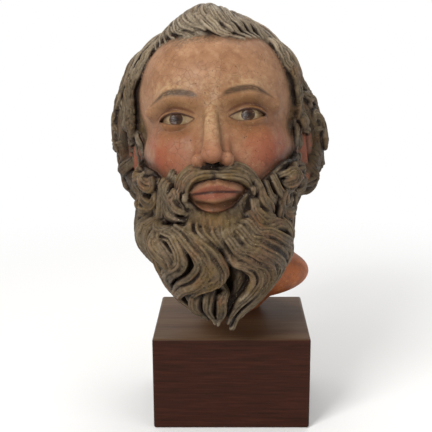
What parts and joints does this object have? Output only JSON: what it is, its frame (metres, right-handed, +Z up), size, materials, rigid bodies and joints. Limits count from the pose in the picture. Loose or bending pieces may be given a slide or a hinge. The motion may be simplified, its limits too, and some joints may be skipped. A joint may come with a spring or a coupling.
{
  "type": "head sculpture",
  "caption": "Carved and painted wooden head of a bearded man with wavy hair, face turned upwards, its neck resting on a plain hardwood block.",
  "frame": {"origin": "middle of the block's underside, on the surface it stands on", "axes": "+Z up; -Y the way the face looks, square to the block's front; +X towards the right as seen from the front"},
  "size_m": [0.227, 0.2751, 0.4015],
  "materials": {
    "painted_wood": "satin",
    "dark_hardwood": "satin"
  },
  "bodies": {
    "root": {"carved_head": "painted_wood", "plinth_block": "dark_hardwood"}
  },
  "joints": []
}
